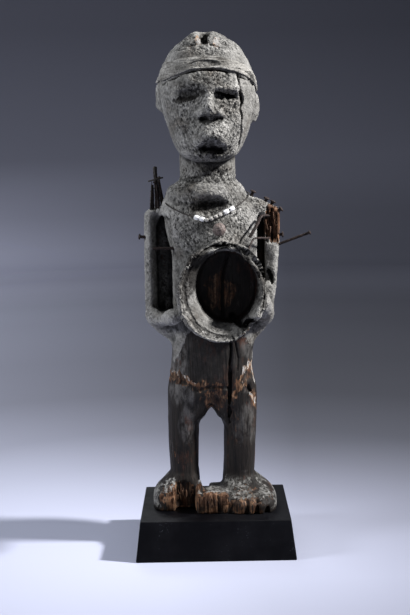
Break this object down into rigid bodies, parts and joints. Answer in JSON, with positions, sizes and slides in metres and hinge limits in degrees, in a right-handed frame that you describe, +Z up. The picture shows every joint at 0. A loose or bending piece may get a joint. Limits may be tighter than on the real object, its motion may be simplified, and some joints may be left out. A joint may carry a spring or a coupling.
{
  "type": "carved power figure on plinth",
  "caption": "Standing carved wooden power figure with a crusted head and chest, an open bowl in its belly, driven iron nails and a black plinth.",
  "frame": {"origin": "centre of the flat underside of the plinth", "axes": "+Z up; -Y is the front that the figure faces; +X is to the right of someone looking at its front"},
  "size_m": [0.1811, 0.146, 0.5223],
  "materials": {
    "crusted_wood": "dry grey clay crust over dark wood, worn to raw brown wood at the hips and feet",
    "black_wood": "satin black stain with a little dust",
    "hide": "dry, dusty, greyed",
    "rusty_iron": "rusted, dark brown",
    "white_glass": "opaque white, slightly worn",
    "dull_glass": "opaque, crusted over",
    "resin": "rough hardened resin, brownish pink",
    "twine": "dark twisted fibre"
  },
  "bodies": {
    "root": {"bead_small_1": "dull_glass", "bead_small_2": "dull_glass", "bead_small_3": "dull_glass", "bead_small_4": "dull_glass", "bead_white_left_1": "white_glass", "bead_white_left_2": "white_glass", "bead_white_right_1": "white_glass", "bead_white_right_2": "white_glass", "bent_blade": "rusty_iron", "bent_wire": "rusty_iron", "bundle_rod": "rusty_iron", "bundle_splint_1": "rusty_iron", "bundle_splint_2": "rusty_iron", "bundle_splint_3": "rusty_iron", "bundle_splint_4": "rusty_iron", "bundle_splint_5": "rusty_iron", "bundle_splint_6": "rusty_iron", "bundle_tie": "twine", "chest_knob": "resin", "figure": "crusted_wood", "headband": "hide", "nail_across_groove": "rusty_iron", "nail_left_arm": "rusty_iron", "nail_long": "rusty_iron", "nail_shoulder_1": "rusty_iron", "nail_shoulder_2": "rusty_iron", "nail_shoulder_3": "rusty_iron", "nail_shoulder_4": "rusty_iron", "nail_shoulder_side": "rusty_iron", "necklace_cord": "twine", "plinth": "black_wood"}
  },
  "joints": []
}
